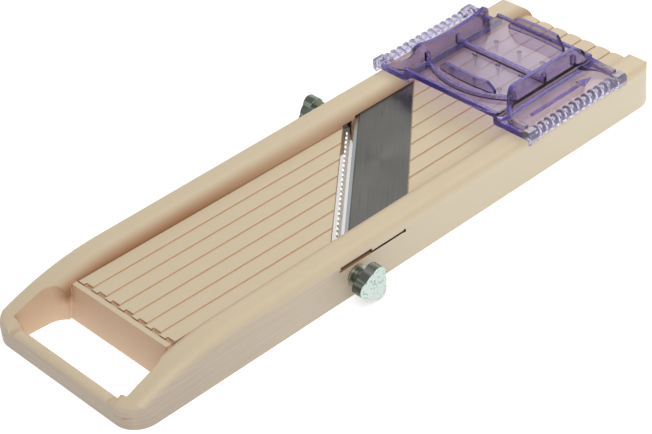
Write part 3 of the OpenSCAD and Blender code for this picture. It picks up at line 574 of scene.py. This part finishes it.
def side_wall(side, top, sag):
    """Side wall with its turned ends. Side is -1 for the near wall and 1 for the far one."""
    wall = prism([(x, -side * y) for x, y in wall_plan()], "z", WING_Z, top)
    limits = prism(wall_side(top, sag), "y", -GUARD_HALF_W, GUARD_HALF_W)
    fall = [(-side * y, z) for y, z in wall_fall(top - WALL_CORNER_R)]
    ends = [prism(fall, "x", WALL_HALF, GUARD_HALF), prism(fall, "x", -GUARD_HALF, -WALL_HALF)]
    combine(limits, "UNION", ends)
    return combine(wall, "INTERSECT", [limits])


def grip_bar(side):
    """Beaded bar over the rail's outer edge, with a chamfered block at each end."""
    middle = side * (GRIP_IN + GRIP_W / 2)
    low, half, cut = BLOCK_TOP - BLOCK_H, GRIP_W / 2, BLOCK_CUT
    section = [(-half, low), (half - cut, low), (half, low + cut), (half, BLOCK_TOP - cut),
               (half - cut, BLOCK_TOP), (cut - half, BLOCK_TOP), (-half, BLOCK_TOP - cut)]
    section = [(middle + side * y, z) for y, z in section]
    axis = (middle - side * BEAD_IN, BLOCK_TOP - BEAD_R - BEAD_DOWN)
    bar = turned([(-GUARD_HALF + 1, CORE_R), (GUARD_HALF - 1, CORE_R)], (0, *axis), "x")
    pitch = (2 * GUARD_HALF - 2 * BLOCK_L) / BEADS
    rim = BEAD_ROUND * pitch
    bead = [(-level, radius) for radius, level in arc((BEAD_R - rim, 0), rim, -90, 90, 10)]
    pieces = [prism(section, "x", *ends) for ends in
              ((-GUARD_HALF, BLOCK_L - GUARD_HALF), (GUARD_HALF - BLOCK_L, GUARD_HALF))]
    pieces += [turned(bead, ((k + 0.5 - BEADS / 2) * pitch, *axis), "x") for k in range(BEADS)]
    combine(bar, "UNION", pieces)
    rail = sorted((side * (GRIP_IN - 2), side * (HALF_W / MM + RAIL_GAP)))
    room = block((-GUARD_HALF - 1, rail[0], 0), (GUARD_HALF + 1, rail[1], WING_Z))
    return combine(bar, "DIFFERENCE", [room])


def middle_rib():
    """Straight rib across the panel, from wall to wall."""
    front, rear = MIDDLE_RIB
    reach = PANEL_HALF_W + WALL_JOIN
    return block((front, -reach, PANEL_Z - JOIN), (rear, reach, PANEL_Z + RIB_H))


def curved_rib():
    """Rib that curves back from the front edge to both walls."""
    inner_r = CURVED_RIB_R - CURVED_RIB_T
    centre = (CURVED_RIB_X - GUARD_HALF + CURVED_RIB_R, 0)
    reach = [math.degrees(math.asin(PANEL_HALF_W / radius)) for radius in (CURVED_RIB_R, inner_r)]
    outline = arc(centre, CURVED_RIB_R, 180 - reach[0], 180 + reach[0])
    outline += arc(centre, inner_r, 180 + reach[1], 180 - reach[1])
    return prism(outline, "z", PANEL_Z - JOIN, PANEL_Z + RIB_H)


def finger_stop(place, height, bulge):
    """Upright, slightly curved stop that bulges to the front (-1) or the rear (1)."""
    centre = (place - bulge * STOP_R, 0)
    turn = 0 if bulge > 0 else 180
    reach = math.degrees(math.asin((STOP_FOOT + 1) / STOP_R))
    strip = arc(centre, STOP_R, turn - reach, turn + reach)
    strip += arc(centre, STOP_R - STOP_T, turn + reach, turn - reach)
    stop = prism(strip, "z", PANEL_Z - JOIN, PANEL_Z + height)
    # its ends are upright to the height of a sheet and slope in above that
    under, over = PANEL_Z - 1, PANEL_Z + height + 1
    front = [(-STOP_FOOT, under), (STOP_FOOT, under), (STOP_FOOT, PANEL_Z + SHEET), (STOP_TIP, over),
             (-STOP_TIP, over), (-STOP_FOOT, PANEL_Z + SHEET)]
    return combine(stop, "INTERSECT", [prism(front, "x", -GUARD_HALF, GUARD_HALF)])


def direction_arrow():
    """Plain raised arrow along the near wing."""
    half = [(ARROW_TAIL, ARROW_HALF), (ARROW_NECK, ARROW_HALF), (ARROW_NECK, ARROW_HEAD_HALF)]
    outline = [(x, ARROW_Y - y) for x, y in half] + [(ARROW_TIP, ARROW_Y)]
    outline += [(x, ARROW_Y + y) for x, y in reversed(half)]
    return prism(outline, "z", WING_TOP - JOIN, WING_TOP + ARROW_H)


def pegs():
    """Small square pegs at the foot of both walls."""
    pieces = []
    for place in PEG_PLACES:
        for side in (-1, 1):
            ends = sorted((side * (PANEL_HALF_W - PEG_OUT), side * (PANEL_HALF_W + WALL_JOIN)))
            pieces.append(block((place - PEG_HALF, ends[0], PANEL_Z - JOIN),
                                (place + PEG_HALF, ends[1], PANEL_Z + PEG_H)))
    return pieces


def spikes():
    """Tapered spikes under the panel, which hold the food."""
    profile = [(0, SPIKE_TIP_R), (SPIKE_L + JOIN, SPIKE_R)]
    steps = [k - (SPIKE_ROWS - 1) / 2 for k in range(SPIKE_ROWS)]
    places = [(SPIKE_PITCH * x, SPIKE_PITCH * y, PANEL_Z - SHEET - SPIKE_L) for y in steps for x in steps]
    return [turned(profile, place, "z", 16) for place in places]


def hand_guard(material):
    """The guard with its turned walls, beaded grips, ribs, stops and spikes, as one closed mesh."""
    guard = prism(sheet_outline(SHEET), "x", -GUARD_HALF + 1, GUARD_HALF - 1)
    rim = sheet_outline(SHEET + RIM_H)
    pieces = [prism(rim, "x", *ends) for ends in
              ((-GUARD_HALF, RIM_L - GUARD_HALF), (GUARD_HALF - RIM_L, GUARD_HALF))]
    pieces += [side_wall(-1, NEAR_WALL_Z, 0), side_wall(1, FAR_WALL_Z, FAR_WALL_SAG)]
    pieces += [grip_bar(-1), grip_bar(1), middle_rib(), curved_rib()]
    pieces += [finger_stop(*FRONT_STOP, bulge=-1), finger_stop(*REAR_STOP, bulge=1), direction_arrow()]
    combine(guard, "UNION", pieces + pegs() + spikes())
    guard.name = "guard_moulding"
    box_low, box_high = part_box("hand_guard")
    middle = Vector(((box_low[0] + box_high[0]) / 2, 0, 0))
    guard.data.transform(Matrix.Translation(middle) @ Matrix.Scale(MM, 4))
    for face in guard.data.polygons:
        face.use_smooth = True
    guard.data.set_sharp_from_angle(angle=math.radians(32))
    guard.data.materials.clear()
    guard.data.materials.append(material)
    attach(guard, "guard")
    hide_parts("hand_guard")


# ---------- rear corners ----------

def tail_corner_wall(name, side, material):
    """Wall of a rail's rounded rear corner, where the square end of the last hollow cuts through it."""
    centre = (HALF_L / MM - TAIL_R, side * (HALF_W / MM - TAIL_R))
    start, end = (side * angle for angle in TAIL_ARC)
    outline = arc(centre, TAIL_R - TAIL_SKIN, start, end) + arc(centre, TAIL_R - TAIL_WALL, end, start)
    corner = prism(outline, "z", TAIL_SKIN, TAIL_TOP)
    corner.data.transform(Matrix.Scale(MM, 4))
    corner.name = name
    corner.data.materials.append(material)
    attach(corner, "base")


# ---------- stage ----------

def floor():
    """White floor that is open from below, so that the underside can be looked at."""
    mesh = bpy.data.meshes.new("floor")
    half = 3.0
    corners = [(-half, -half, 0), (half, -half, 0), (half, half, 0), (-half, half, 0)]
    mesh.from_pydata(corners, [], [(0, 1, 2, 3)])
    plane = bpy.data.objects.new("floor", mesh)
    bpy.context.scene.collection.objects.link(plane)
    material = bpy.data.materials.new("floor_white")
    graph = Graph(material)
    matt = graph.add("ShaderNodeBsdfDiffuse", {"Color": srgb(225, 225, 225)})
    glow = graph.add("ShaderNodeEmission", {
        "Color": (1, 1, 1, 1), "Strength": graph.between(graph.seen_directly(), 0, 1, 0.16, 0.55)})
    white = graph.add("ShaderNodeAddShader")
    graph.tree.links.new(matt.outputs[0], white.inputs[0])
    graph.tree.links.new(glow.outputs[0], white.inputs[1])
    from_below = graph.add("ShaderNodeNewGeometry").outputs["Backfacing"]
    graph.surface(graph.blend(from_below, white, graph.add("ShaderNodeBsdfTransparent")))
    mesh.materials.append(material)


def studio_light():
    """White surroundings, brighter where they are seen or reflected than where they only light."""
    world = bpy.data.worlds.new("studio")
    bpy.context.scene.world = world
    graph = Graph(world)
    strength = graph.between(graph.seen_directly(), 0, 1, 0.44, 1.0)
    sky = graph.add("ShaderNodeBackground", {"Color": (1, 1, 1, 1), "Strength": strength})
    graph.surface(sky, "ShaderNodeOutputWorld")


def soft_box(name, at, aim, size, power):
    """Rectangular area light that looks at a point."""
    light = bpy.data.lights.new(name, "AREA")
    light.shape = "RECTANGLE"
    light.size = size[0]
    light.size_y = size[1]
    light.energy = power
    lamp = bpy.data.objects.new(name, light)
    bpy.context.scene.collection.objects.link(lamp)
    lamp.location = at
    lamp.rotation_euler = (Vector(aim) - Vector(at)).to_track_quat("-Z", "Y").to_euler()


def camera():
    """Camera at the photograph's viewing angle."""
    lens = bpy.data.cameras.new("camera")
    lens.lens = LENS
    lens.sensor_width = SENSOR
    lens.sensor_fit = "HORIZONTAL"
    lens.clip_start = 0.05
    view = bpy.data.objects.new("camera", lens)
    bpy.context.scene.collection.objects.link(view)
    stand = Matrix.Translation(CAMERA_AT)
    for angle, axis in ((CAMERA_AZIMUTH, "Z"), (90 - CAMERA_ELEVATION, "X"), (CAMERA_ROLL, "Z")):
        stand = stand @ Matrix.Rotation(math.radians(angle), 4, axis)
    view.matrix_world = stand
    bpy.context.scene.camera = view


# ---------- the scene ----------

camera()
cream = cream_plastic()
dress(cream, "body_frame", "front_plate")
tail_corner_wall("near_tail_corner", -1, cream)
tail_corner_wall("far_tail_corner", 1, cream)
hand_guard(violet_plastic())
dress(brushed_steel(), "main_blade")
dress(turned_metal("screw_steel_finish", srgb(168, 170, 168), srgb(120, 121, 118), 0.24),
      "blade_screws", "bridge_bar", "bridge_screws", "adjuster_screw", "retaining_ring",
      "near_clamp_pad", "far_clamp_pad", "near_clamp_stud", "far_clamp_stud")
dress(turned_metal("comb_finish", srgb(226, 224, 218), srgb(204, 200, 190), 0.42), "comb_blade")
# knobs: chrome with a painted dark reflection on their sides
dress(turned_metal("knob_chrome_painted_reflection", srgb(192, 206, 200), srgb(104, 116, 110), 0.2,
                   edge=0.35 * MM, sides=srgb(84, 88, 79), speck=0.9 * MM),
      "near_clamp_knob", "far_clamp_knob")
dress(turned_metal("washer_finish", srgb(176, 172, 160), srgb(112, 106, 94), 0.18),
      "near_washer", "far_washer")
dress(turned_metal("brass_finish", srgb(206, 172, 104), srgb(160, 126, 70), 0.28),
      "plate_nut", "near_insert", "far_insert")
dress(turned_metal("adjuster_finish", srgb(190, 192, 190), srgb(120, 121, 118), 0.24), "adjuster_knob")

floor()
studio_light()
soft_box("key", (-0.35, -0.55, 1.0), (0, 0, 0), (0.9, 0.9), 6.4)
soft_box("fill", (0.7, 0.2, 0.7), (0, 0, 0), (0.8, 0.8), 3.0)
bpy.context.scene.view_settings.view_transform = "Standard"
